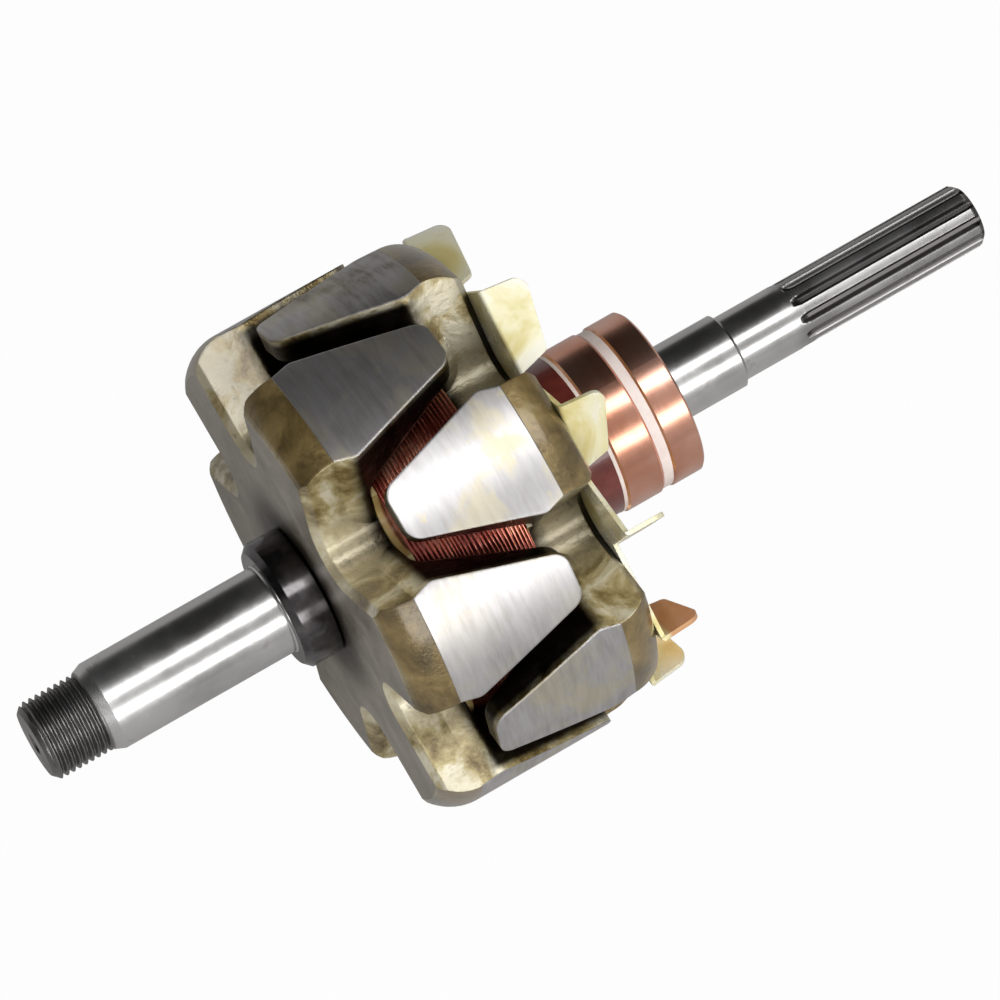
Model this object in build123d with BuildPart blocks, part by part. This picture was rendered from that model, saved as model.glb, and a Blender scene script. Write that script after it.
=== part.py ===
from build123d import *
import math
import os

os.makedirs("parts", exist_ok=True)

# Twelve-pole claw-pole rotor of a vehicle alternator, millimetres.
# The shaft lies along X with its thread at -X and its spline at +X.
# X = 0 is the front face of the spacer collar, where the front bearing seats.
# Angles about the shaft are counted from +Z, right-handed about +X.

# Shaft
thread_dia = 17.9
thread_length = 13.8
thread_end_chamfer = 1.5
thread_cone_length = 2.5
front_journal_dia = 20.0
front_journal_length = 41.1
pole_seat_dia = 20.6
ring_seat_dia = 17.6
rear_journal_dia = 17.0
rear_journal_length = 18.0
rear_journal_cone = 0.8
drive_dia = 14.9
drive_neck_length = 14.8
spline_length = 45.7
spline_end_chamfer = 1.4
spline_count = 11
spline_groove_depth = 1.25
spline_groove_top = 1.9
spline_groove_bottom = 1.1
spline_cutter_radius = 5.0
spline_phase = 4.75
centre_hole_dia = 5.0
centre_hole_depth = 7.0
centre_drill_dia = 2.0

# Spacer collar between the front bearing and the front pole
collar_dia = 29.2
collar_length = 8.8
collar_front_chamfer = 1.5
collar_rear_chamfer = 0.6

# Claw poles
claw_count = 6
claw_outer_radius = 55.7
pole_stack_length = 53.9
pole_disc_thickness = 13.9
claw_reach = 40.4
shoulder_axial = 8.4
shoulder_radial = 5.0
rim_chamfer_axial = 0.6
rim_chamfer_radial = 1.3
arm_width = 25.8
claw_base_width = 28.6
claw_base_run = 4.6
claw_base_corner_radius = 3.0
claw_tip_width = 11.4
claw_tip_radius = 3.8
claw_root_thickness = 11.45
claw_tip_thickness = 4.8
elbow_radius = 3.0
valley_fillet_radius = 6.9
pole_edge_chamfer = 1.6
front_claw_phase = -15.0
rear_claw_phase = front_claw_phase + 180.0 / claw_count

# Magnetic core, bobbin and winding
winding_depth = 10.35
bobbin_wall = 1.5
bobbin_flange = 1.2
flange_gap = 0.2
flange_overhang = 1.2
winding_edge_depth = 0.2
winding_crown = 1.4
winding_turns = 10
winding_turn_depth = 0.32

# Slip rings
ring_dia = 38.0
ring_wall = 4.0
ring_edge = 0.5
inner_ring_length = 9.0
outer_ring_length = 7.6
spacer_length = 2.3
spacer_recess = 0.4
edge_washer_length = 0.8
boss_length = 12.1
boss_dia = 37.0
boss_foot_dia = 33.0
boss_foot_length = 3.0

# Rear fan
fan_sheet = 1.0
fan_hole_radius = 20.5
blade_outer_radius = 54.0
blade_inner_radius = 40.5
blade_tall_height = 10.4
blade_short_height = 7.4
blade_tall_slant = 1.2
blade_short_slant = 2.0
blade_tall_corner = 3.0
blade_short_corner = 1.5
bend_radius = 0.8
blade_angles = (-106.0, -72.0, -22.0, 12.0, 44.0, 77.0, 113.0, 149.0, 185.0, 220.0)
blade_sweeps = (17.0, 17.0, 17.0, 17.0, 10.5, 13.0, 17.0, 17.0, 17.0, 17.0)

# Field leads
lead_angles = (165.0, 225.0)
lead_depth = 3.45
lead_wire_dia = 1.2
lead_wire_end_gap = 1.0
sleeve_dia = 2.4
sleeve_clearance = 0.15
lead_room = 0.3
lead_height = 3.5
lead_bend_radius = 5.0
lead_hole_dia = 5.0
terminal_thickness = 1.0
terminal_width = 3.6
terminal_depth = 2.0
terminal_stand = 5.0
sleeve_end_gap = 1.2

# Stations along X that follow from the sizes
front_face_x = collar_length
rear_face_x = front_face_x + pole_stack_length
journal_start_x = -front_journal_length
cone_start_x = journal_start_x - thread_cone_length
thread_end_x = cone_start_x - thread_length
coil_space_front_x = front_face_x + pole_disc_thickness
coil_space_rear_x = rear_face_x - pole_disc_thickness
winding_front_x = coil_space_front_x + bobbin_flange
winding_rear_x = coil_space_rear_x - bobbin_flange
boss_end_x = rear_face_x + boss_length
inner_ring_x = boss_end_x + edge_washer_length
spacer_x = inner_ring_x + inner_ring_length
outer_ring_x = spacer_x + spacer_length
rings_end_x = outer_ring_x + outer_ring_length
rear_journal_end_x = rings_end_x + rear_journal_length
spline_start_x = rear_journal_end_x + drive_neck_length
drive_end_x = spline_start_x + spline_length
fan_rear_x = rear_face_x + fan_sheet
lead_x = fan_rear_x + lead_height

axis_line = Axis.X


def radial_direction(angle):
    a = math.radians(angle)
    return Vector(0, -math.sin(a), math.cos(a))


def radial_plane(angle, x=0.0):
    """Plane whose local x runs along the shaft and whose normal points outward."""
    return Plane(origin=(x, 0, 0), x_dir=(1, 0, 0), z_dir=radial_direction(angle))


def axial_plane(angle, x=0.0):
    """Plane that holds the shaft axis and whose local y points outward."""
    out = radial_direction(angle)
    return Plane(origin=(x, 0, 0), x_dir=(1, 0, 0), z_dir=Vector(1, 0, 0).cross(out))


# Shaft, turned in one piece
thread_r = thread_dia / 2
front_journal_r = front_journal_dia / 2
pole_seat_r = pole_seat_dia / 2
ring_seat_r = ring_seat_dia / 2
rear_journal_r = rear_journal_dia / 2
drive_r = drive_dia / 2
groove_bottom_r = drive_r - spline_groove_depth
cutter_rise = spline_cutter_radius - spline_groove_depth
groove_floor_x = spline_start_x + math.sqrt(spline_cutter_radius**2 - cutter_rise**2)

with BuildPart() as rotor_shaft:
    with BuildSketch(Plane.XZ):
        with BuildLine():
            Polyline(
                (thread_end_x, 0),
                (thread_end_x, thread_r - thread_end_chamfer),
                (thread_end_x + thread_end_chamfer, thread_r),
                (cone_start_x, thread_r),
                (journal_start_x, front_journal_r),
                (0, front_journal_r),
                (0, pole_seat_r),
                (rear_face_x, pole_seat_r),
                (rear_face_x, ring_seat_r),
                (rings_end_x, ring_seat_r),
                (rings_end_x, rear_journal_r),
                (rear_journal_end_x - rear_journal_cone, rear_journal_r),
                (rear_journal_end_x, drive_r),
                (drive_end_x - spline_end_chamfer, drive_r),
                (drive_end_x, drive_r - spline_end_chamfer),
                (drive_end_x, 0),
                close=True,
            )
        make_face()
    revolve(axis=axis_line)
    # Spline grooves, open at the end face
    with BuildSketch(Plane.YZ.offset(groove_floor_x)):
        with PolarLocations(0, spline_count, start_angle=90.0 + spline_phase):
            Polygon(
                (groove_bottom_r, -spline_groove_bottom / 2),
                (drive_r + spline_groove_depth, -spline_groove_top / 2),
                (drive_r + spline_groove_depth, spline_groove_top / 2),
                (groove_bottom_r, spline_groove_bottom / 2),
                align=None,
            )
    extrude(amount=drive_end_x - groove_floor_x, mode=Mode.SUBTRACT)
    # Rounded run-outs where the cutter left the shaft
    for k in range(spline_count):
        groove_angle = spline_phase + 360.0 * k / spline_count
        with BuildSketch(axial_plane(groove_angle, groove_floor_x)):
            with Locations((0, groove_bottom_r + spline_cutter_radius)):
                Circle(spline_cutter_radius)
        extrude(amount=spline_groove_bottom / 2, both=True, mode=Mode.SUBTRACT)
    # Centre holes in both ends
    with BuildSketch(Plane.XZ):
        for end_x, inward in ((thread_end_x, 1), (drive_end_x, -1)):
            cone_depth = (centre_hole_dia - centre_drill_dia) / 2 * math.sqrt(3)
            with BuildLine():
                Polyline(
                    (end_x, 0),
                    (end_x, centre_hole_dia / 2),
                    (end_x + inward * cone_depth, centre_drill_dia / 2),
                    (end_x + inward * centre_hole_depth, centre_drill_dia / 2),
                    (end_x + inward * centre_hole_depth, 0),
                    close=True,
                )
            make_face()
    revolve(axis=axis_line, mode=Mode.SUBTRACT)

# Spacer collar
with BuildPart() as front_spacer_collar:
    with BuildSketch(Plane.YZ):
        Circle(collar_dia / 2)
        Circle(pole_seat_r, mode=Mode.SUBTRACT)
    extrude(amount=collar_length)
    outer_rims = front_spacer_collar.edges().filter_by(
        lambda e: e.geom_type == GeomType.CIRCLE and e.radius > pole_seat_r + 0.01
    )
    front_rim, rear_rim = outer_rims.sort_by(Axis.X)
    chamfer(front_rim, length=collar_front_chamfer)
    chamfer(rear_rim, length=collar_rear_chamfer)


def arm_star(width, valley_radius, phase, reach):
    """Sketch of equal arms whose valleys have the given fillet radius."""
    valley_apex = width / 2 / math.sin(math.pi / claw_count)
    with BuildSketch(Plane.YZ) as star:
        with PolarLocations(reach / 2, claw_count, start_angle=90.0 + phase):
            Rectangle(reach, width)
        valleys = [v for v in star.vertices() if v.center().length < valley_apex * 1.02]
        fillet(valleys, radius=valley_radius)
    return star.sketch_local


# Radii from the claws inward: flange, winding, leads, bobbin and core
flange_r = claw_outer_radius - claw_root_thickness - elbow_radius - flange_gap
winding_edge_r = flange_r - winding_edge_depth
lead_r = winding_edge_r - lead_depth
bobbin_r = winding_edge_r - winding_depth
core_r = bobbin_r - bobbin_wall


def lead_passages():
    """Sketch of the room that the leads need where they pass along X."""
    with BuildSketch(Plane.YZ) as passages:
        for angle in lead_angles:
            middle = radial_direction(angle) * lead_r
            with Locations((middle.Y, middle.Z)):
                Circle(sleeve_dia / 2 + lead_room)
    return passages.sketch_local


def claw_pole(face_x, inward, phase, passes_leads=False):
    """One forged pole: a disc with arms that turn into tapered claws.

    face_x is the outer face and inward is the sense of the claws along X.
    """
    claw_base_r = claw_outer_radius - claw_root_thickness
    claw_end_r = claw_outer_radius - claw_tip_thickness
    elbow_x = face_x + inward * pole_disc_thickness
    rim_r = claw_outer_radius - shoulder_radial
    arm_reach = claw_outer_radius * 1.2

    # Plan of the arms and claws, before the turned profile trims them
    with BuildPart() as plan:
        with BuildSketch(Plane.YZ.offset(face_x)):
            add(arm_star(arm_width, valley_fillet_radius, phase, arm_reach))
        extrude(amount=inward * pole_disc_thickness)
        outer_face = plan.faces().sort_by(Axis.X)[0 if inward > 0 else -1]
        chamfer(outer_face.edges(), length=pole_edge_chamfer)
        for k in range(claw_count):
            arm_plane = radial_plane(phase + 360.0 * k / claw_count, face_x)
            with BuildSketch(arm_plane) as claw_plan:
                base_x = shoulder_axial + claw_base_run
                with BuildLine():
                    Polyline(
                        (inward * pole_edge_chamfer, arm_width / 2),
                        (inward * shoulder_axial, arm_width / 2),
                        (inward * base_x, claw_base_width / 2),
                        (inward * claw_reach, claw_tip_width / 2),
                        (inward * claw_reach, -claw_tip_width / 2),
                        (inward * base_x, -claw_base_width / 2),
                        (inward * shoulder_axial, -arm_width / 2),
                        (inward * pole_edge_chamfer, -arm_width / 2),
                        close=True,
                    )
                make_face()
                by_reach = claw_plan.vertices().sort_by(lambda v: abs(v.X))
                fillet(by_reach[-2:], radius=claw_tip_radius)
                by_width = claw_plan.vertices().sort_by(lambda v: abs(v.Y))
                fillet(by_width[-2:], radius=claw_base_corner_radius)
            extrude(amount=arm_reach)

    with BuildPart() as pole:
        with BuildSketch(Plane.XZ) as profile:
            with BuildLine():
                turned_edge = (face_x + inward * shoulder_axial, claw_outer_radius)
                rim_break = (face_x + inward * rim_chamfer_axial, rim_r + rim_chamfer_radial)
                Polyline(
                    turned_edge,
                    (face_x + inward * claw_reach, claw_outer_radius),
                    (face_x + inward * claw_reach, claw_end_r),
                    (elbow_x, claw_base_r),
                    (elbow_x, pole_seat_r),
                    (face_x, pole_seat_r),
                    (face_x, rim_r),
                    rim_break,
                )
                # Forged shoulder, rounded over to the turned face
                TangentArc(turned_edge, rim_break, tangent=(-inward, 0))
            make_face()
            elbow = profile.vertices().sort_by_distance((elbow_x, claw_base_r))[0]
            fillet(elbow, radius=elbow_radius)
        revolve(axis=axis_line)
        add(plan.part, mode=Mode.INTERSECT)
        if passes_leads:
            with BuildSketch(Plane.YZ.offset(elbow_x)):
                add(lead_passages())
            extrude(amount=face_x - elbow_x, mode=Mode.SUBTRACT)
    return pole


front_claw_pole = claw_pole(front_face_x, 1, front_claw_phase)
rear_claw_pole = claw_pole(rear_face_x, -1, rear_claw_phase, passes_leads=True)

# Magnetic core between the pole discs
with BuildPart() as pole_core:
    with BuildSketch(Plane.YZ.offset(coil_space_front_x)):
        Circle(core_r)
        Circle(pole_seat_r, mode=Mode.SUBTRACT)
    extrude(amount=coil_space_rear_x - coil_space_front_x)

# Moulded bobbin whose flanges follow the arms of the two poles
flange_arm_width = arm_width + 2 * flange_overhang
flange_valley_radius = valley_fillet_radius - flange_overhang

with BuildPart() as coil_bobbin:
    with BuildSketch(Plane.YZ.offset(coil_space_front_x)):
        Circle(bobbin_r)
    extrude(amount=coil_space_rear_x - coil_space_front_x)
    for flange_x, phase in (
        (coil_space_front_x, front_claw_phase),
        (winding_rear_x, rear_claw_phase),
    ):
        with BuildSketch(Plane.YZ.offset(flange_x)):
            Circle(flange_r)
            add(
                arm_star(flange_arm_width, flange_valley_radius, phase, claw_outer_radius),
                mode=Mode.INTERSECT,
            )
        extrude(amount=bobbin_flange)
    with BuildSketch(Plane.YZ.offset(winding_rear_x)):
        add(lead_passages())
    extrude(amount=bobbin_flange, mode=Mode.SUBTRACT)
    with BuildSketch(Plane.YZ.offset(coil_space_front_x)):
        Circle(core_r)
    extrude(amount=coil_space_rear_x - coil_space_front_x, mode=Mode.SUBTRACT)

# Field winding, its outer layer crowned and ridged turn by turn
turn_pitch = (winding_rear_x - winding_front_x) / winding_turns
winding_middle_x = (winding_front_x + winding_rear_x) / 2


def crown_radius(x):
    share = (x - winding_middle_x) / (winding_rear_x - winding_middle_x)
    return winding_edge_r + winding_crown * (1 - share * share)


ridge_points = []
for k in range(winding_turns):
    valley_x = winding_front_x + k * turn_pitch
    crest_x = valley_x + turn_pitch / 2
    ridge_points.append((valley_x, crown_radius(valley_x) - winding_turn_depth))
    ridge_points.append((crest_x, crown_radius(crest_x)))
ridge_points.append((winding_rear_x, crown_radius(winding_rear_x) - winding_turn_depth))

with BuildPart() as field_winding:
    with BuildSketch(Plane.XZ):
        with BuildLine():
            Polyline(
                (winding_front_x, bobbin_r),
                *ridge_points,
                (winding_rear_x, bobbin_r),
                close=True,
            )
        make_face()
    revolve(axis=axis_line)

# Rear fan, one stamping: a flat saw-toothed sheet with its blades bent rearward
blade_roots = []
for start, turn in zip(blade_angles, blade_sweeps):
    outer_end = radial_direction(start) * blade_outer_radius
    inner_end = radial_direction(start + turn) * blade_inner_radius
    blade_roots.append((outer_end, inner_end))

with BuildPart() as rear_fan:
    with BuildSketch(Plane.YZ.offset(rear_face_x)):
        outline = []
        with BuildLine():
            for outer_end, inner_end in blade_roots:
                outline.append((outer_end.Y, outer_end.Z))
                outline.append((inner_end.Y, inner_end.Z))
            Polyline(*outline, close=True)
        make_face()
        for angle in lead_angles:
            hole = radial_direction(angle) * lead_r
            with Locations((hole.Y, hole.Z)):
                Circle(lead_hole_dia / 2, mode=Mode.SUBTRACT)
        Circle(fan_hole_radius, mode=Mode.SUBTRACT)
    extrude(amount=fan_sheet)
    bends = []
    for outer_end, inner_end in blade_roots:
        run = inner_end - outer_end
        origin = Vector(rear_face_x, outer_end.Y, outer_end.Z)
        blade_plane = Plane(origin=origin, x_dir=(1, 0, 0), z_dir=Vector(1, 0, 0).cross(run))
        with BuildSketch(blade_plane) as blade_face:
            with BuildLine():
                Polyline(
                    (0, 0),
                    (blade_tall_height, blade_tall_slant),
                    (blade_short_height, run.length - blade_short_slant),
                    (0, run.length),
                    close=True,
                )
            make_face()
            by_height = blade_face.vertices().sort_by(lambda v: v.X)
            fillet(by_height[-1], radius=blade_tall_corner)
            by_height = blade_face.vertices().sort_by(lambda v: v.Y)
            short = by_height.filter_by(lambda v: v.X > blade_short_height - 0.01)[-1]
            fillet(short, radius=blade_short_corner)
        extrude(amount=fan_sheet)
        bends.append(origin + run / 2)
    # Outer bends where the sheet turns into each blade
    for middle in bends:
        root = rear_fan.edges().filter_by(GeomType.LINE).sort_by_distance(middle)[0]
        fillet(root, radius=bend_radius)

# Slip-ring moulding on the shaft, with pockets for the two terminals
ring_r = ring_dia / 2
ring_bore_r = ring_r - ring_wall
boss_r = boss_dia / 2
boss_foot_r = boss_foot_dia / 2
terminal_x = lead_x + lead_wire_dia / 2

with BuildPart() as slip_ring_body:
    with BuildSketch(Plane.XZ):
        with BuildLine():
            Polyline(
                (rear_face_x, ring_seat_r),
                (rear_face_x, boss_foot_r),
                (rear_face_x + boss_foot_length, boss_r),
                (boss_end_x, boss_r),
                (boss_end_x, ring_bore_r),
                (rings_end_x, ring_bore_r),
                (rings_end_x, ring_seat_r),
                close=True,
            )
        make_face()
    revolve(axis=axis_line)
    for angle in lead_angles:
        with BuildSketch(radial_plane(angle, terminal_x).offset(boss_r - terminal_depth)):
            Rectangle(terminal_thickness, terminal_width, align=(Align.MIN, Align.CENTER))
        extrude(amount=2 * terminal_depth, mode=Mode.SUBTRACT)


def slip_ring(start_x, length):
    with BuildPart() as ring:
        with BuildSketch(Plane.XZ) as section:
            with BuildLine():
                Polyline(
                    (start_x, ring_bore_r),
                    (start_x, ring_r),
                    (start_x + length, ring_r),
                    (start_x + length, ring_bore_r),
                    close=True,
                )
            make_face()
            rims = section.vertices().sort_by(lambda v: v.Y)[-2:]
            chamfer(rims, length=ring_edge)
        revolve(axis=axis_line)
    return ring


def insulating_washer(start_x, length):
    with BuildPart() as washer:
        with BuildSketch(Plane.YZ.offset(start_x)):
            Circle(ring_r - spacer_recess)
            Circle(ring_bore_r, mode=Mode.SUBTRACT)
        extrude(amount=length)
    return washer


inner_slip_ring = slip_ring(inner_ring_x, inner_ring_length)
outer_slip_ring = slip_ring(outer_ring_x, outer_ring_length)
inner_edge_washer = insulating_washer(boss_end_x, edge_washer_length)
ring_spacer = insulating_washer(spacer_x, spacer_length)


def terminal(angle):
    """Flat tab moulded into the slip-ring boss, standing out to take the lead."""
    with BuildPart() as tab:
        base = boss_r - terminal_depth
        with BuildSketch(radial_plane(angle, terminal_x).offset(base)):
            Rectangle(terminal_thickness, terminal_width, align=(Align.MIN, Align.CENTER))
        extrude(amount=terminal_depth + terminal_stand)
    return tab


def lead_path(angle, end_radius):
    """From the winding's end, out through the valley and fan, then in to the hub."""
    out = radial_direction(angle)
    start = Vector(winding_rear_x, 0, 0) + out * lead_r
    corner = Vector(lead_x, 0, 0) + out * lead_r
    end = Vector(lead_x, 0, 0) + out * end_radius
    return start, corner, end


def lead_wire(angle):
    with BuildPart() as wire:
        with BuildLine() as path:
            FilletPolyline(*lead_path(angle, boss_r + lead_wire_end_gap), radius=lead_bend_radius)
        with BuildSketch(Plane(origin=path.line @ 0, z_dir=path.line % 0)):
            Circle(lead_wire_dia / 2)
        sweep()
    return wire


def lead_sleeve(angle):
    sleeve_end = boss_r + terminal_stand + sleeve_end_gap
    with BuildPart() as sleeve:
        with BuildLine() as path:
            FilletPolyline(*lead_path(angle, sleeve_end), radius=lead_bend_radius)
        with BuildSketch(Plane(origin=path.line @ 0, z_dir=path.line % 0)):
            Circle(sleeve_dia / 2)
            Circle(lead_wire_dia / 2 + sleeve_clearance, mode=Mode.SUBTRACT)
        sweep()
    return sleeve


pieces = {
    "rotor_shaft": rotor_shaft,
    "front_spacer_collar": front_spacer_collar,
    "front_claw_pole": front_claw_pole,
    "rear_claw_pole": rear_claw_pole,
    "pole_core": pole_core,
    "coil_bobbin": coil_bobbin,
    "field_winding": field_winding,
    "rear_fan": rear_fan,
    "slip_ring_body": slip_ring_body,
    "inner_edge_washer": inner_edge_washer,
    "inner_slip_ring": inner_slip_ring,
    "ring_spacer": ring_spacer,
    "outer_slip_ring": outer_slip_ring,
}
for letter, angle in zip("ab", lead_angles):
    pieces["lead_wire_" + letter] = lead_wire(angle)
    pieces["lead_sleeve_" + letter] = lead_sleeve(angle)
    pieces["lead_terminal_" + letter] = terminal(angle)

for name, piece in pieces.items():
    piece.part.label = name
    export_step(piece.part, "parts/" + name + ".step")
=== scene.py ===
import math

import bmesh
import bpy
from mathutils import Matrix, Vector


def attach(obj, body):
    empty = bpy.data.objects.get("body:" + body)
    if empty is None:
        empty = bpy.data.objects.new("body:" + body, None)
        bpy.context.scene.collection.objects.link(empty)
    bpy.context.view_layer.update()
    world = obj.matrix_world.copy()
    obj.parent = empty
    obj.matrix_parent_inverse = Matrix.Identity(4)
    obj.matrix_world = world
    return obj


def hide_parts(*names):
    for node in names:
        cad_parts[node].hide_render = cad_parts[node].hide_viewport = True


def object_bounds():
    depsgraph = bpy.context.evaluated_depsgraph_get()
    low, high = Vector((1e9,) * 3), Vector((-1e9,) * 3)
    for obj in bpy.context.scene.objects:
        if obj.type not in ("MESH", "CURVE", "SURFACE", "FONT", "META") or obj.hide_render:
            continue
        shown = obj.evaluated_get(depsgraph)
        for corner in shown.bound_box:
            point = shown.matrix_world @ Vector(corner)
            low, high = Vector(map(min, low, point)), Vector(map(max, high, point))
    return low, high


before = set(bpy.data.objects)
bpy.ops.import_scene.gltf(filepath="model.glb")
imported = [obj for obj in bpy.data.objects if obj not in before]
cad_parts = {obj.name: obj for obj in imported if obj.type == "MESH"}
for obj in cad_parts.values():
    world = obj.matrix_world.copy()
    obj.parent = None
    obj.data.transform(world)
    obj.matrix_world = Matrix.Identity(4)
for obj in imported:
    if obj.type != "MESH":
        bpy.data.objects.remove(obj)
cad_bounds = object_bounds()

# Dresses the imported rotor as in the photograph. The shaft is made anew with its thread and its
# spline, and the winding with its turns of wire.
# The rotor's own sizes are in millimetres, as in the construction, and the room's are in metres.
# Angles about the shaft are counted from +Z, right-handed about +X, as in the construction.
MM = 0.001


def mm(*lengths):
    """Millimetres as the metres that Blender counts in."""
    return [length * MM for length in lengths]


# Places along the shaft that the construction has too
THREAD_END_X = -57.4
CONE_START_X = -43.6
JOURNAL_START_X = -41.1
FRONT_FACE_X = 8.8
FRONT_SHOULDER_X = 17.2
REAR_SHOULDER_X = 54.3
REAR_FACE_X = 62.7
RINGS_END_X = 94.5
REAR_JOURNAL_END_X = 112.5
SPLINE_START_X = 127.3
GROOVE_FLOOR_X = 130.6
DRIVE_END_X = 173.0

# Radii that the construction has too
THREAD_R = 8.95
FRONT_JOURNAL_R = 10.0
POLE_SEAT_R = 10.3
RING_SEAT_R = 8.8
REAR_JOURNAL_R = 8.5
DRIVE_R = 7.45
SPLINE_CREST_R = 7.36
COLLAR_R = 14.6
CLAW_OUTER_R = 55.7


# Node helpers


class Nodes:
    """Short names for building a node tree."""

    def __init__(self, tree):
        self.tree = tree

    def new(self, kind):
        return self.tree.nodes.new(kind)

    def link(self, source, target):
        self.tree.links.new(source, target)

    def put(self, socket, value):
        """Give a socket a number, a colour or the output of another node."""
        if isinstance(value, (int, float)):
            socket.default_value = value
        elif isinstance(value, tuple):
            missing = len(socket.default_value) - len(value)
            socket.default_value = value + (1.0,) * missing
        else:
            self.link(value, socket)

    def split(self, vector):
        node = self.new("ShaderNodeSeparateXYZ")
        self.link(vector, node.inputs[0])
        return node.outputs

    def calc(self, operation, a, b=0.0):
        node = self.new("ShaderNodeMath")
        node.operation = operation
        self.put(node.inputs[0], a)
        self.put(node.inputs[1], b)
        return node.outputs[0]

    def fold(self, operation, values):
        result, *others = values
        for other in others:
            result = self.calc(operation, result, other)
        return result

    def times(self, *values):
        return self.fold("MULTIPLY", values)

    def plus(self, *values):
        return self.fold("ADD", values)

    def largest(self, *values):
        return self.fold("MAXIMUM", values)

    def without(self, share):
        return self.calc("SUBTRACT", 1.0, share)

    def ramp(self, value, *stops):
        """Colour for a value, from stops that are each a place and a colour."""
        node = self.new("ShaderNodeValToRGB")
        self.put(node.inputs[0], value)
        elements = node.color_ramp.elements
        while len(elements) < len(stops):
            elements.new(0.5)
        for element, (place, colour) in zip(elements, stops):
            element.position = place
            element.color = colour + (1.0,)
        return node.outputs[0]

    def round_once(self, turn, levels, tint=(1.0, 1.0, 1.0)):
        """Tone all the way round X, from pairs of an angle in degrees and a level.

        turn is arctan2(y, z) in radians, the construction's angle with its sign changed.
        """
        share = self.plus(self.times(turn, -0.5 / math.pi), 0.5)
        stops = []
        for degrees, level in levels:
            stops.append(((degrees + 180.0) / 360.0, tuple(level * part for part in tint)))
        return self.ramp(share, *stops)


class Shade(Nodes):
    """One material, with the coordinates that its patterns follow."""

    OCCLUSION_SAMPLES = 6
    BEVEL_SAMPLES = 5
    SOCKETS = {
        "color": "Base Color",
        "metallic": "Metallic",
        "roughness": "Roughness",
        "coat": "Coat Weight",
        "coat_rough": "Coat Roughness",
        "anisotropic": "Anisotropic",
        "normal": "Normal",
        "tangent": "Tangent",
    }

    def __init__(self, name):
        self.material = bpy.data.materials.new(name)
        self.material.use_nodes = True
        super().__init__(self.material.node_tree)
        self.tree.nodes.clear()
        surface = self.new("ShaderNodeOutputMaterial")
        self.bsdf = self.new("ShaderNodeBsdfPrincipled")
        self.link(self.bsdf.outputs["BSDF"], surface.inputs["Surface"])

        self.place = self.new("ShaderNodeTexCoord").outputs["Object"]
        self.x, y, z = self.split(self.place)
        self.radius = self.calc("SQRT", self.plus(self.times(y, y), self.times(z, z)))
        self.turn = self.calc("ARCTAN2", y, z)

        # Share of the normal that lies along the shaft, and that points away from it
        along, across, up = self.split(self.new("ShaderNodeNewGeometry").outputs["Normal"])
        self.facing_along = self.calc("ABSOLUTE", along)
        away = self.plus(self.times(across, y), self.times(up, z))
        self.facing_out = self.calc("DIVIDE", away, self.radius)

    def noise(self, scale, detail, rough, distortion=0.0, vector=None):
        node = self.new("ShaderNodeTexNoise")
        self.link(vector or self.place, node.inputs["Vector"])
        node.inputs["Scale"].default_value = scale
        node.inputs["Detail"].default_value = detail
        node.inputs["Roughness"].default_value = rough
        node.inputs["Distortion"].default_value = distortion
        return node.outputs["Fac"]

    def wear(self, scale):
        return self.noise(scale, 5.0, 0.62)

    def tool_marks(self, along, around, detail, rough):
        """Noise drawn out round the shaft, from its scales along and around it."""
        node = self.new("ShaderNodeCombineXYZ")
        self.put(node.inputs[0], self.times(self.x, along))
        self.put(node.inputs[1], self.times(self.turn, around))
        return self.noise(1.0, detail, rough, vector=node.outputs[0])

    def span(self, value, low, high, to_low=0.0, to_high=1.0):
        """Smooth step from to_low to to_high while the value goes from low to high."""
        node = self.new("ShaderNodeMapRange")
        node.interpolation_type = "SMOOTHSTEP"
        self.put(node.inputs["Value"], value)
        node.inputs["From Min"].default_value = low
        node.inputs["From Max"].default_value = high
        node.inputs["To Min"].default_value = to_low
        node.inputs["To Max"].default_value = to_high
        return node.outputs["Result"]

    def window(self, value, rise, fall):
        """One between two pairs of limits, and zero before the first and after the second."""
        return self.times(self.span(value, *rise), self.span(value, *fall, 1.0, 0.0))

    def mix(self, share, a, b):
        """Colour that goes from a to b with the share."""
        node = self.new("ShaderNodeMix")
        node.data_type = "RGBA"
        self.put(node.inputs["Factor"], share)
        self.put(node.inputs[6], a)
        self.put(node.inputs[7], b)
        return node.outputs[2]

    def blend(self, share, a, b):
        """Number that goes from a to b with the share."""
        return self.plus(self.times(a, self.without(share)), self.times(b, share))

    def bump(self, height, strength, distance, under=None):
        """Normal of a surface with this height, in millimetres, over another normal."""
        node = self.new("ShaderNodeBump")
        self.put(node.inputs["Height"], height)
        node.inputs["Strength"].default_value = strength
        node.inputs["Distance"].default_value = distance * MM
        if under is not None:
            self.link(under, node.inputs["Normal"])
        return node.outputs["Normal"]

    def shelter(self, distance):
        """One in the open, falling to zero in corners and gaps of this size in millimetres."""
        node = self.new("ShaderNodeAmbientOcclusion")
        node.samples = self.OCCLUSION_SAMPLES
        node.inputs["Distance"].default_value = distance * MM
        return node.outputs["AO"]

    def rounded(self, radius):
        """Normal of edges that are rounded by this radius in millimetres."""
        node = self.new("ShaderNodeBevel")
        node.samples = self.BEVEL_SAMPLES
        node.inputs["Radius"].default_value = radius * MM
        return node.outputs["Normal"]

    def round_shaft_tangent(self):
        node = self.new("ShaderNodeTangent")
        node.direction_type = "RADIAL"
        node.axis = "X"
        return node.outputs[0]

    def set(self, **values):
        for key, value in values.items():
            self.put(self.bsdf.inputs[self.SOCKETS[key]], value)
        return self.material


# Materials


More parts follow.
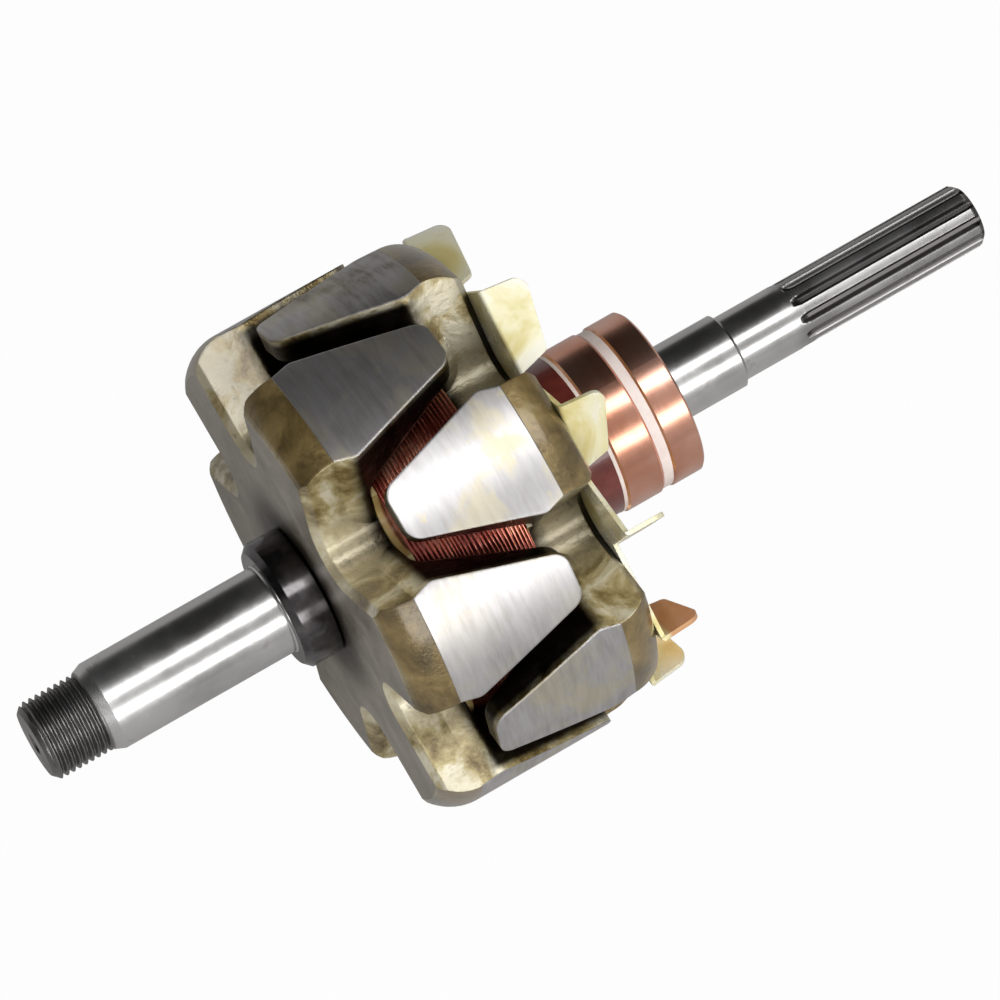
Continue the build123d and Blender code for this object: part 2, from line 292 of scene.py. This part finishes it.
def ground_steel():
    s = Shade("ground_steel")
    fine = s.tool_marks(5200.0, 1.5, 2.0, 0.5)
    broad = s.noise(60.0, 4.0, 0.6)
    blotch = s.noise(240.0, 4.0, 0.6)
    tone = s.ramp(
        broad,
        (0.25, (0.50, 0.49, 0.48)),
        (0.55, (0.66, 0.655, 0.65)),
        (0.85, (0.74, 0.735, 0.73)),
    )
    tone = s.mix(s.span(blotch, 0.60, 0.72, 0.0, 0.35), tone, (0.34, 0.31, 0.27))
    # The threaded end and the spline are darker than the ground seats, and painted shade darkens
    # the grooves' floors most
    thread = s.span(s.x, *mm(CONE_START_X, CONE_START_X + 0.6), 1.0, 0.0)
    spline = s.span(s.x, *mm(SPLINE_START_X - 3.8, SPLINE_START_X + 1.7))
    darker = s.largest(thread, s.times(spline, 0.55))
    tone = s.mix(s.times(darker, 0.76), tone, (0.070, 0.064, 0.062))
    # Painted shade on the floors of the spline's grooves
    groove_floor_shade = s.times(spline, s.span(s.radius, *mm(6.85, SPLINE_CREST_R - 0.03), 1.0, 0.0))
    tone = s.mix(s.times(groove_floor_shade, 0.85), tone, (0.030, 0.026, 0.026))
    polish = s.span(broad, 0.3, 0.7, 0.14, 0.24)
    return s.set(
        color=tone,
        metallic=1.0,
        roughness=s.plus(polish, s.times(darker, 0.12), s.times(fine, 0.06)),
        normal=s.bump(fine, 0.10, 0.02),
        anisotropic=0.55,
        tangent=s.round_shaft_tangent(),
    )


def blackened_steel():
    s = Shade("blackened_steel")
    worn = s.wear(160.0)
    tone = s.ramp(
        worn,
        (0.35, (0.060, 0.057, 0.058)),
        (0.62, (0.150, 0.143, 0.145)),
        (0.80, (0.28, 0.26, 0.255)),
    )
    rings = s.tool_marks(3000.0, 0.0, 2.0, 0.5)
    return s.set(
        color=tone,
        metallic=1.0,
        roughness=s.span(worn, 0.3, 0.7, 0.10, 0.19),
        normal=s.bump(rings, 0.12, 0.03, under=s.rounded(0.3)),
    )


# How strongly the olive film and the stains show on each claw, all the way round
CLAW_ANGLES = range(-165, 180, 30)
CLAW_FILM = (0.20, 0.45, 0.15, 0.40, 0.62, 0.24, 0.06, 0.26, 0.24, 0.30, 0.12, 0.40)
CLAW_STAIN = (0.6, 0.3, 0.8, 0.4, 0.5, 0.4, 1.0, 0.15, 0.8, 0.3, 0.9, 0.5)

# Radii from a valley's floor to its open top, for a painted highlight, and angles of a side with
# painted shade, in radians of turn
VALLEY_GLINT_RADII = (34.5, 43.0)
SHADED_SIDE_FROM, SHADED_SIDE_TO = (0.30, 0.80), (1.6, 2.2)


class PoleShade(Shade):
    """Shade of the claw poles, with a share from zero to one for each kind of surface."""

    def __init__(self, name):
        super().__init__(name)
        # The claws' outer faces are turned between the shoulders, and all else is as forged
        along_claws = self.inside_shoulders(-0.20, 0.05)
        self.turned = self.times(self.near_rim(0.20, 0.08), along_claws)
        self.forged = self.without(self.turned)

        self.flat_face = self.span(self.facing_along, 0.90, 0.97)
        self.shoulder = self.times(
            self.near_rim(5.7, 4.3),
            self.without(along_claws),
            self.without(self.flat_face),
            self.span(self.facing_out, 0.20, 0.45),
        )
        self.between_claws = self.inside_shoulders(1.3, 5.3)
        # Painted shade on the flat face round the collar
        self.shade_near_collar = self.span(self.radius, *mm(COLLAR_R + 0.9, COLLAR_R + 13.9), 0.88, 0.0)
        self.painted_face_shade = self.times(self.shade_near_collar, self.flat_face)
        # Painted shade: one in the open, falling in sheltered corners and gaps
        self.open_air = self.span(self.shelter(14.0), 0.18, 0.80)

        self.forge = self.noise(95.0, 5.0, 0.62, distortion=0.4)
        self.grain = self.noise(560.0, 4.0, 0.6)

    def inside_shoulders(self, start, full):
        """One between the shoulders, from these distances inside both, in millimetres."""
        rise = mm(FRONT_SHOULDER_X + start, FRONT_SHOULDER_X + full)
        fall = mm(REAR_SHOULDER_X - full, REAR_SHOULDER_X - start)
        return self.window(self.x, rise, fall)

    def near_rim(self, start, full, to_low=0.0, to_high=1.0):
        """Step that starts and ends at these depths under the claws' skin, in millimetres."""
        depths = mm(CLAW_OUTER_R - start, CLAW_OUTER_R - full)
        return self.span(self.radius, *depths, to_low, to_high)


def turned_tone(s):
    """Tone and stains of the turned faces: cuts round the shaft under patches of varnish."""
    streak = s.tool_marks(620.0, 5.0, 4.0, 0.65)
    bare = s.ramp(
        streak,
        (0.25, (0.515, 0.500, 0.505)),
        (0.55, (0.595, 0.582, 0.588)),
        (0.80, (0.660, 0.645, 0.645)),
    )
    # An olive film of its own strength lies on each claw, thinner where it was wiped
    uneven = s.noise(34.0, 3.0, 0.55, distortion=0.6)
    film = s.times(
        s.round_once(s.turn, zip(CLAW_ANGLES, CLAW_FILM)),
        s.span(uneven, 0.36, 0.60, 1.55, 0.45),
        s.span(streak, 0.30, 0.62, 1.0, 0.60),
    )
    bare = s.mix(film, bare, (0.098, 0.078, 0.045))
    patches = s.span(s.noise(58.0, 4.0, 0.60, distortion=0.5), 0.46, 0.58)
    spots = s.span(s.noise(210.0, 3.0, 0.5), 0.66, 0.72)
    marks = s.largest(s.times(patches, 0.55), s.times(spots, 0.50))
    stains = s.times(marks, s.round_once(s.turn, zip(CLAW_ANGLES, CLAW_STAIN)))
    varnish = s.mix(film, (0.72, 0.63, 0.36), (0.40, 0.34, 0.19))
    return s.mix(stains, bare, varnish), stains


def forged_tone(s):
    """Olive and brown varnish over forged steel, with painted shade in the gaps and painted glints.
    """
    # Brown to pale olive varnish, whose palest patches are painted glints, a painted highlight
    olive = s.ramp(
        s.forge,
        (0.27, (0.070, 0.045, 0.018)),
        (0.40, (0.215, 0.155, 0.055)),
        (0.49, (0.490, 0.405, 0.200)),
        (0.58, (0.780, 0.730, 0.560)),
    )
    # Painted shade darkens the side towards +Y, away from the lamps, and a painted highlight makes
    # the valleys' floors paler
    shaded_side = s.window(s.turn, SHADED_SIDE_FROM, SHADED_SIDE_TO)
    olive = s.mix(s.times(shaded_side, 0.50), olive, (0.150, 0.105, 0.045))
    # Painted highlight: the valleys' floors are mixed towards pale olive
    valley_glint = s.span(s.radius, *mm(*VALLEY_GLINT_RADII), 0.55, 0.0)
    olive = s.mix(valley_glint, olive, (0.74, 0.67, 0.47))

    face = s.ramp(
        s.forge,
        (0.28, (0.190, 0.158, 0.115)),
        (0.45, (0.300, 0.262, 0.210)),
        (0.65, (0.430, 0.390, 0.330)),
    )
    # Painted shade darkens the face round the collar
    face = s.mix(s.shade_near_collar, face, (0.040, 0.030, 0.020))
    shoulder = s.ramp(
        s.forge,
        (0.28, (0.075, 0.052, 0.020)),
        (0.45, (0.160, 0.112, 0.040)),
        (0.62, (0.290, 0.205, 0.078)),
        (0.80, (0.400, 0.330, 0.180)),
    )
    tone = s.mix(s.flat_face, olive, face)
    tone = s.mix(s.shoulder, tone, shoulder)
    tone = s.mix(s.span(s.grain, 0.60, 0.74, 0.0, 0.35), tone, (0.05, 0.036, 0.022))
    # Painted shade makes the claws' flanks near black below their rims, where the yellow varnish
    # still shows
    below_rim = s.near_rim(2.1, 0.6, 1.0, 0.20)
    tone = s.mix(s.times(s.between_claws, 0.97, below_rim), tone, (0.013, 0.009, 0.005))
    # Painted shade: near black in the corners and gaps that the occlusion finds
    return s.mix(s.open_air, (0.010, 0.006, 0.004), tone)


def pole_steel():
    s = PoleShade("pole_steel")
    turned, stains = turned_tone(s)
    forged_rough = s.span(s.forge, 0.3, 0.7, 0.26, 0.42)
    face_rough = s.span(s.forge, 0.3, 0.7, 0.40, 0.55)
    turned_rough = s.plus(0.36, s.times(stains, 0.12))
    roughness = s.blend(s.turned, s.blend(s.flat_face, forged_rough, face_rough), turned_rough)
    # Sheltered places, the flanks between the claws and the face by the collar count as metal, so
    # that they stay black under the lamps, as painted shade
    metallic = s.largest(
        s.span(s.turned, 0.0, 1.0, 0.40, 0.90),
        s.times(s.between_claws, s.forged),
        s.without(s.open_air),
        s.painted_face_shade,
    )

    height = s.plus(s.times(s.forge, 0.7), s.times(s.grain, 0.3))
    hammered = s.bump(s.times(height, s.forged), 0.70, 0.8, under=s.rounded(0.7))
    cuts = s.times(s.tool_marks(3300.0, 2.0, 2.0, 0.6), s.turned)
    coat = s.times(
        s.without(s.times(s.flat_face, 0.7)),
        s.forged,
        s.open_air,
        s.without(s.times(s.between_claws, 0.8)),
        s.without(s.painted_face_shade),
        0.7,
    )
    return s.set(
        color=s.mix(s.turned, forged_tone(s), turned),
        metallic=metallic,
        roughness=roughness,
        normal=s.bump(cuts, 0.07, 0.03, under=hammered),
        coat=coat,
        coat_rough=0.14,
    )


def core_steel():
    s = Shade("core_steel")
    tone = s.ramp(s.wear(90.0), (0.3, (0.12, 0.10, 0.07)), (0.7, (0.30, 0.26, 0.20)))
    grain = s.bump(s.wear(300.0), 0.2, 0.2)
    return s.set(color=tone, metallic=0.8, roughness=0.45, normal=grain)


def bobbin_resin():
    s = Shade("bobbin_resin")
    tone = s.ramp(
        s.wear(110.0),
        (0.3, (0.24, 0.165, 0.050)),
        (0.55, (0.43, 0.33, 0.125)),
        (0.8, (0.60, 0.51, 0.26)),
    )
    grain = s.bump(s.wear(400.0), 0.2, 0.2)
    return s.set(
        color=tone, metallic=0.0, roughness=0.35, coat=0.5, coat_rough=0.15, normal=grain
    )


def varnished_copper():
    s = Shade("varnished_copper")
    drip = s.noise(70.0, 4.0, 0.6, distortion=0.5)
    tone = s.ramp(
        drip,
        (0.27, (0.110, 0.013, 0.010)),
        (0.45, (0.300, 0.055, 0.036)),
        (0.58, (0.540, 0.160, 0.100)),
        (0.70, (0.80, 0.38, 0.26)),
    )
    worn = s.span(s.noise(260.0, 3.0, 0.5), 0.62, 0.74, 0.0, 0.5)
    return s.set(
        color=s.mix(worn, tone, (0.66, 0.29, 0.18)),
        metallic=0.92,
        roughness=0.24,
        coat=0.8,
        coat_rough=0.06,
        normal=s.bump(drip, 0.35, 0.4),
    )


# Both sides of the coppery blade, in radians of turn, and where it rises out of the fan's sheet
COPPERY_FROM, COPPERY_TO = (-1.63, -1.58), (-1.33, -1.28)
COPPERY_RISE = (REAR_FACE_X + 1.3, REAR_FACE_X + 2.8)


def chromated_sheet():
    s = Shade("chromated_sheet")
    cloud = s.noise(48.0, 4.0, 0.6, distortion=0.8)
    tone = s.ramp(
        cloud,
        (0.28, (0.62, 0.48, 0.14)),
        (0.40, (0.82, 0.72, 0.34)),
        (0.50, (0.92, 0.87, 0.58)),
        (0.60, (0.94, 0.92, 0.78)),
    )
    blush = s.span(s.noise(85.0, 3.0, 0.5), 0.60, 0.75, 0.0, 0.25)
    tone = s.mix(blush, tone, (0.70, 0.56, 0.44))
    # The blade at 77 degrees is coppery above where it rises out of the fan's sheet
    coppery = s.times(
        s.window(s.turn, COPPERY_FROM, COPPERY_TO),
        s.span(s.x, *mm(*COPPERY_RISE)),
        0.85,
    )
    dents = s.noise(180.0, 4.0, 0.6)
    return s.set(
        color=s.mix(coppery, tone, (0.62, 0.27, 0.10)),
        metallic=0.22,
        roughness=s.span(cloud, 0.3, 0.7, 0.20, 0.32),
        coat=0.4,
        coat_rough=0.12,
        normal=s.bump(dents, 0.12, 0.3, under=s.rounded(0.3)),
    )


def ring_moulding():
    s = Shade("ring_moulding")
    flow = s.noise(90.0, 4.0, 0.6)
    tone = s.ramp(
        flow,
        (0.3, (0.085, 0.012, 0.010)),
        (0.6, (0.165, 0.032, 0.024)),
        (0.85, (0.24, 0.08, 0.06)),
    )
    return s.set(
        color=tone,
        metallic=0.0,
        roughness=s.span(flow, 0.3, 0.7, 0.16, 0.26),
        coat=0.4,
        coat_rough=0.08,
        normal=s.bump(s.noise(500.0, 3.0, 0.5), 0.08, 0.2),
    )


def insulating_washer():
    s = Shade("insulating_washer")
    tone = s.ramp(s.wear(200.0), (0.3, (0.80, 0.66, 0.62)), (0.7, (0.92, 0.83, 0.79)))
    grain = s.bump(s.wear(500.0), 0.1, 0.2)
    return s.set(color=tone, metallic=0.0, roughness=0.35, normal=grain)


def ring_copper():
    s = Shade("ring_copper")
    track = s.tool_marks(2600.0, 1.2, 3.0, 0.6)
    tone = s.ramp(
        s.noise(70.0, 3.0, 0.55),
        (0.3, (0.68, 0.31, 0.20)),
        (0.55, (0.80, 0.43, 0.32)),
        (0.8, (0.87, 0.55, 0.45)),
    )
    return s.set(
        color=s.mix(s.span(track, 0.62, 0.78, 0.0, 0.35), tone, (0.40, 0.15, 0.09)),
        metallic=1.0,
        roughness=s.plus(0.13, s.times(track, 0.12)),
        normal=s.bump(track, 0.10, 0.03),
        anisotropic=0.5,
        tangent=s.round_shaft_tangent(),
    )


def lead_copper():
    s = Shade("lead_copper")
    tone = s.ramp(s.wear(400.0), (0.3, (0.34, 0.09, 0.04)), (0.7, (0.56, 0.20, 0.10)))
    return s.set(color=tone, metallic=0.9, roughness=0.28, coat=0.6, coat_rough=0.1)


def varnished_sleeve():
    s = Shade("varnished_sleeve")
    braid = s.noise(2200.0, 2.0, 0.5)
    tone = s.ramp(braid, (0.3, (0.13, 0.08, 0.03)), (0.7, (0.36, 0.26, 0.13)))
    weave = s.bump(braid, 0.3, 0.1)
    return s.set(
        color=tone, metallic=0.0, roughness=0.4, coat=0.4, coat_rough=0.2, normal=weave
    )


def tinned():
    s = Shade("tinned")
    tone = s.ramp(s.wear(300.0), (0.3, (0.42, 0.38, 0.32)), (0.7, (0.66, 0.63, 0.58)))
    grain = s.bump(s.wear(600.0), 0.2, 0.2)
    return s.set(color=tone, metallic=0.95, roughness=0.3, normal=grain)


steel = ground_steel()
poles = pole_steel()
coil_copper = varnished_copper()
washers = insulating_washer()
copper = ring_copper()
wire, sleeve, tin = lead_copper(), varnished_sleeve(), tinned()

dressing = {
    "rotor_shaft": steel,
    "front_spacer_collar": blackened_steel(),
    "front_claw_pole": poles,
    "rear_claw_pole": poles,
    "pole_core": core_steel(),
    "coil_bobbin": bobbin_resin(),
    "field_winding": coil_copper,
    "rear_fan": chromated_sheet(),
    "slip_ring_body": ring_moulding(),
    "inner_edge_washer": washers,
    "inner_slip_ring": copper,
    "ring_spacer": washers,
    "outer_slip_ring": copper,
}
for letter in "ab":
    dressing["lead_wire_" + letter] = wire
    dressing["lead_sleeve_" + letter] = sleeve
    dressing["lead_terminal_" + letter] = tin

for node, material in dressing.items():
    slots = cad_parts[node].data.materials
    slots.clear()
    slots.append(material)


# Meshes


def new_object(name, data):
    thing = bpy.data.objects.new(name, data)
    bpy.context.scene.collection.objects.link(thing)
    return thing


def add_piece(name, points, faces, material, smooth_below):
    """Mesh from points in millimetres, smooth where faces meet at less than so many degrees."""
    mesh = bpy.data.meshes.new(name)
    mesh.from_pydata([mm(*point) for point in points], [], faces)
    mesh.materials.append(material)
    work = bmesh.new()
    work.from_mesh(mesh)
    bmesh.ops.recalc_face_normals(work, faces=work.faces)
    limit = math.radians(smooth_below)
    for face in work.faces:
        face.smooth = True
    for edge in work.edges:
        if len(edge.link_faces) == 2:
            edge.smooth = edge.calc_face_angle(0.0) < limit
    work.to_mesh(mesh)
    work.free()
    thing = new_object(name, mesh)
    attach(thing, "root")
    return thing


def on_skin(places):
    """Stations whose radius comes from the body's own function of place and angle."""
    return [(x, None) for x in places]


def lathe(name, stations, angles, skin_radius, material, smooth_below):
    """Body of revolution through stations, each a place along X and a radius.

    A radius of None is taken from skin_radius, and a radius of zero makes a single point.
    """
    points = []
    rings = []
    for x, radius in stations:
        ring = []
        for angle in (angles[:1] if radius == 0.0 else angles):
            a = math.radians(angle)
            r = skin_radius(x, angle) if radius is None else radius
            ring.append(len(points))
            points.append((x, -r * math.sin(a), r * math.cos(a)))
        rings.append(ring)
    faces = []
    count = len(angles)
    for first, second in zip(rings, rings[1:]):
        for k in range(count):
            j = (k + 1) % count
            if len(first) == 1:
                faces.append((first[0], second[k], second[j]))
            elif len(second) == 1:
                faces.append((first[k], second[0], first[j]))
            else:
                faces.append((first[k], second[k], second[j], first[j]))
    return add_piece(name, points, faces, material, smooth_below)


def steps(start, end, count):
    return [start + (end - start) * k / count for k in range(count + 1)]


def clamped(value):
    return min(1.0, max(0.0, value))


# Shaft with its real thread and spline

STEP = 0.01
END_CHAMFER = 1.5
REAR_CONE_X = REAR_JOURNAL_END_X - 0.8
NECK_END_X, CREST_START_X, CREST_END_X = 126.3, 127.2, 171.6
DRIVE_END_R = 6.05
CENTRE_R, CENTRE_CONE = 2.5, 2.6
DRILL_R, DRILL_DEPTH = 1.0, 7.0

# Corners of the turned shaft. A step in radius takes up STEP along X.
SHAFT_PROFILE = (
    (THREAD_END_X, THREAD_R - END_CHAMFER),
    (THREAD_END_X + END_CHAMFER, THREAD_R),
    (CONE_START_X, THREAD_R),
    (JOURNAL_START_X, FRONT_JOURNAL_R),
    (-0.3, FRONT_JOURNAL_R),
    (0.0, POLE_SEAT_R),
    (REAR_FACE_X, POLE_SEAT_R),
    (REAR_FACE_X + STEP, RING_SEAT_R),
    (RINGS_END_X, RING_SEAT_R),
    (RINGS_END_X + STEP, REAR_JOURNAL_R),
    (REAR_CONE_X, REAR_JOURNAL_R),
    (REAR_JOURNAL_END_X, DRIVE_R),
    (NECK_END_X, DRIVE_R),
    (CREST_START_X, SPLINE_CREST_R),
    (CREST_END_X, SPLINE_CREST_R),
    (DRIVE_END_X, DRIVE_END_R),
)


def turned_radius(x):
    """Radius of the shaft without thread and spline."""
    for (x0, r0), (x1, r1) in zip(SHAFT_PROFILE, SHAFT_PROFILE[1:]):
        if x <= x1:
            return r0 + (r1 - r0) * (x - x0) / (x1 - x0)


# Thread M18 x 1.5, with the share of its pitch on the crests and on the flanks
THREAD_PITCH, THREAD_DEPTH = 1.5, 0.86
CREST_SHARE, FLANK_SHARE = 0.14, 0.72
THREAD_RUN_OUT_X, THREAD_RUN_OUT = -43.3, 0.9
THREAD_STATIONS, THREAD_STATIONS_END_X = 122, -42.8


def thread_cut(x, angle):
    """Depth of the right-hand thread below its crests."""
    turn = (x / THREAD_PITCH + angle / 360.0) % 1.0
    across = abs(turn - 0.5) * 2.0
    depth = THREAD_DEPTH * clamped((1.0 - across - CREST_SHARE) / FLANK_SHARE)
    return depth * clamped((THREAD_RUN_OUT_X - x) / THREAD_RUN_OUT)


# Spline: grooves of a round-nosed cutter that ran out towards the neck
SPLINE_COUNT = 11
SPLINE_PITCH = 360.0 / SPLINE_COUNT
SPLINE_PHASE = 4.75
CUTTER_R = 5.0
GROOVE_BOTTOM_R, GROOVE_MEAN_R = 6.2, 6.8
GROOVE_HALF_FLOOR = 0.40
WALL_CURVE, WALL_SLOPE = 1.9, 0.35


def groove_radius(x, angle):
    """Radius of the nearest groove's surface, which lies beyond the crests between grooves."""
    if x < SPLINE_START_X:
        return math.inf
    offset = (angle - SPLINE_PHASE + SPLINE_PITCH / 2) % SPLINE_PITCH - SPLINE_PITCH / 2
    run_out = max(0.0, GROOVE_FLOOR_X - x)
    lift = CUTTER_R - math.sqrt(CUTTER_R**2 - run_out**2)
    across = abs(math.radians(offset)) * GROOVE_MEAN_R
    wall = max(0.0, across - GROOVE_HALF_FLOOR)
    return GROOVE_BOTTOM_R + lift + WALL_CURVE * wall**2 + WALL_SLOPE * wall


def shaft_radius(x, angle):
    plain = turned_radius(x)
    threaded = max(plain, THREAD_R) - thread_cut(x, angle)
    return min(plain, threaded, groove_radius(x, angle))


def centre_hole(end_x, inward):
    """Stations of a turning centre, from the end face to the bottom of its drilled hole."""
    return [
        (end_x, CENTRE_R),
        (end_x + inward * CENTRE_CONE, DRILL_R),
        (end_x + inward * DRILL_DEPTH, DRILL_R),
        (end_x + inward * DRILL_DEPTH, 0.0),
    ]


# Close rings of points keep the grooves' walls and the shaft's edges crisp
GROOVE_SIDE = (1.8, 3.6, 5.0, 6.2, 7.2, 8.2, 9.2, 10.2, 11.2, 12.6, 14.4)
TOOTH_MIDDLE = 16.36
groove_offsets = [-away for away in reversed(GROOVE_SIDE)] + [0.0, *GROOVE_SIDE, TOOTH_MIDDLE]
shaft_angles = [
    SPLINE_PHASE + groove * SPLINE_PITCH + away
    for groove in range(SPLINE_COUNT)
    for away in groove_offsets
]
shaft_places = steps(THREAD_END_X, THREAD_STATIONS_END_X, THREAD_STATIONS)
shaft_places += [-42.0, -41.2, JOURNAL_START_X, -40.9, -30.0, -20.0, -10.0, -0.3, 0.0]
shaft_places += [FRONT_FACE_X, 36.0, REAR_FACE_X, REAR_FACE_X + STEP, 75.0]
shaft_places += [RINGS_END_X, RINGS_END_X + STEP, 94.8, 103.0]
shaft_places += [111.5, REAR_CONE_X, REAR_JOURNAL_END_X, 112.7, 120.0]
shaft_places += [126.2, 126.4, 126.8, CREST_START_X, SPLINE_START_X]
shaft_places += steps(SPLINE_START_X + 0.15, GROOVE_FLOOR_X, 12)
shaft_places += [131.0, 140.0, 150.0, 160.0, 171.4, CREST_END_X, 172.3, DRIVE_END_X]
front_centre, rear_centre = centre_hole(THREAD_END_X, 1.0), centre_hole(DRIVE_END_X, -1.0)
shaft_stations = front_centre[::-1] + on_skin(shaft_places) + rear_centre
turned_shaft = lathe(
    "shaft_with_thread_and_spline", shaft_stations, shaft_angles, shaft_radius, steel, 30.0
)
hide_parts("rotor_shaft")


# Field winding, wire by wire over its outer layer

WIRES = 26
RINGS_PER_WIRE = 8
WINDING_START, WINDING_END = 23.9, 47.6
WINDING_MIDDLE = (WINDING_START + WINDING_END) / 2
WINDING_INNER_R = 30.6
WINDING_EDGE_R, WINDING_CROWN = 40.80, 1.34
WINDING_DEGREES = steps(0.0, 358.0, 179)
WIRE_RELIEF, WIRE_CURVE, WIRE_DEPTH = 0.42, 3.7, 0.16

# The wires wander sideways, most in the middle, and each lies a little higher or lower.
# Each wave has its size, its number round the coil, and its drift per millimetre or wire.
SWAY_WAVES = ((0.30, 3, 0.35), (0.18, 7, -0.8))
LIFT_WAVES = ((0.09, 2, 2.4), (0.05, -5, 5.1))


def ripple(waves, a, place):
    return sum(size * math.sin(count * a + drift * place) for size, count, drift in waves)


def winding_radius(x, angle):
    a = math.radians(angle)
    share = (x - WINDING_MIDDLE) / (WINDING_END - WINDING_MIDDLE)
    bulge = 1.0 - share * share
    sway = bulge * ripple(SWAY_WAVES, a, x)
    place = (x - WINDING_START + sway) / (WINDING_END - WINDING_START) * WIRES
    lift = ripple(LIFT_WAVES, a, math.floor(place))
    off_centre = place % 1.0 - 0.5
    round_top = 1.0 - math.sqrt(max(0.0, 1.0 - WIRE_CURVE * off_centre**2))
    return WINDING_EDGE_R + WINDING_CROWN * bulge - WIRE_DEPTH + lift - WIRE_RELIEF * round_top


wire_places = steps(WINDING_START, WINDING_END, WIRES * RINGS_PER_WIRE)
inner_start, inner_end = (WINDING_START, WINDING_INNER_R), (WINDING_END, WINDING_INNER_R)
wire_stations = [inner_start, *on_skin(wire_places), inner_end, inner_start]
wound_coil = lathe(
    "wound_coil", wire_stations, WINDING_DEGREES, winding_radius, coil_copper, 60.0
)
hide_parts("field_winding")


# Floor, world, camera and lamps

# Share of full white that the floor shows to each kind of ray: white to the camera and pale in
# polished metal, with the shadow left in both
FLOOR_WHITE = {"Is Camera Ray": 0.975, "Is Transmission Ray": 0.975, "Is Glossy Ray": 0.12}
FLOOR_TONE = (0.42, 0.415, 0.41)
FLOOR_HALF = 3.0
FLOOR_GAP = 0.01 * MM


def make_floor():
    level = cad_bounds[0][2] - FLOOR_GAP
    corners = [(-1, -1), (1, -1), (1, 1), (-1, 1)]
    mesh = bpy.data.meshes.new("floor")
    mesh.from_pydata([(x * FLOOR_HALF, y * FLOOR_HALF, level) for x, y in corners], [], [range(4)])
    material = bpy.data.materials.new("floor_white")
    mesh.materials.append(material)
    material.use_nodes = True
    nodes = Nodes(material.node_tree)
    nodes.tree.nodes.clear()
    paper = nodes.new("ShaderNodeBsdfDiffuse")
    nodes.put(paper.inputs["Color"], FLOOR_TONE)
    glow = nodes.new("ShaderNodeEmission")
    nodes.put(glow.inputs["Color"], (1.0, 1.0, 1.0))
    nodes.put(glow.inputs["Strength"], 1.0)
    rays = nodes.new("ShaderNodeLightPath").outputs
    white = nodes.largest(*(nodes.times(rays[ray], share) for ray, share in FLOOR_WHITE.items()))
    surface = nodes.new("ShaderNodeMixShader")
    for socket, source in zip(surface.inputs, (white, paper.outputs[0], glow.outputs[0])):
        nodes.link(source, socket)
    out = nodes.new("ShaderNodeOutputMaterial")
    nodes.link(surface.outputs[0], out.inputs["Surface"])
    new_object("floor", mesh)


# Brightness of the room by the angle about the shaft
ROOM_TINT = (1.0, 0.985, 0.97)
ROOM_LEVELS = (
    (-180, 0.30), (-110, 0.16), (-75, 0.030), (-25, 0.035), (-5, 0.20),
    (20, 0.45), (70, 0.50), (105, 0.38), (180, 0.30),
)


def make_world():
    """Dark room above and beyond the rotor, paler towards the floor and round the lamps."""
    world = bpy.data.worlds.new("studio")
    bpy.context.scene.world = world
    world.use_nodes = True
    nodes = Nodes(world.node_tree)
    _, y, z = nodes.split(nodes.new("ShaderNodeTexCoord").outputs["Generated"])
    room = nodes.round_once(nodes.calc("ARCTAN2", y, z), ROOM_LEVELS, ROOM_TINT)
    background = nodes.tree.nodes["Background"]
    nodes.put(background.inputs["Color"], room)
    nodes.put(background.inputs["Strength"], 1.0)


# The camera looks down on the rotor as in the photograph
AZIMUTH, ELEVATION = math.radians(-31.53), math.radians(68.15)
CAMERA_DISTANCE = 1.383
CAMERA_LENS, SENSOR_WIDTH = 236.9, 36.0
AIM_LEFT, AIM_DOWN = 0.00199, 0.00536


def make_camera():
    data = bpy.data.cameras.new("camera")
    data.sensor_width = SENSOR_WIDTH
    data.lens = CAMERA_LENS
    data.clip_start = 0.05
    data.clip_end = 20.0
    camera = new_object("camera", data)
    level = math.cos(ELEVATION)
    back = Vector((math.sin(AZIMUTH) * level, -math.cos(AZIMUTH) * level, math.sin(ELEVATION)))
    right = Vector((math.cos(AZIMUTH), math.sin(AZIMUTH), 0.0))
    up = back.cross(right)
    middle = Vector(((THREAD_END_X + DRIVE_END_X) / 2 * MM, 0.0, 0.0))
    camera.location = middle - right * AIM_LEFT - up * AIM_DOWN + back * CAMERA_DISTANCE
    camera.rotation_euler = back.to_track_quat("Z", "Y").to_euler()
    bpy.context.scene.camera = camera


LAMP_LENGTH, LAMP_REACH, LAMP_X = 2.4, 1.5, 0.25


def strip_lamp(name, angle, width, radiance):
    """Lamp along the shaft that faces it from this angle, as bright as the radiance says."""
    data = bpy.data.lights.new(name, "AREA")
    data.shape = "RECTANGLE"
    data.size = LAMP_LENGTH
    data.size_y = width
    data.energy = radiance * math.pi * LAMP_LENGTH * width
    a = math.radians(angle)
    away = Vector((0.0, -math.sin(a), math.cos(a)))
    lamp = new_object(name, data)
    lamp.location = Vector((LAMP_X, 0.0, 0.0)) + away * LAMP_REACH
    lamp.rotation_euler = away.to_track_quat("Z", "Y").to_euler()


make_floor()
make_world()
make_camera()
strip_lamp("lamp_over", 6.0, 0.40, 4.2)
strip_lamp("lamp_side", 55.0, 0.44, 4.2)
bpy.context.scene.view_settings.view_transform = "Standard"
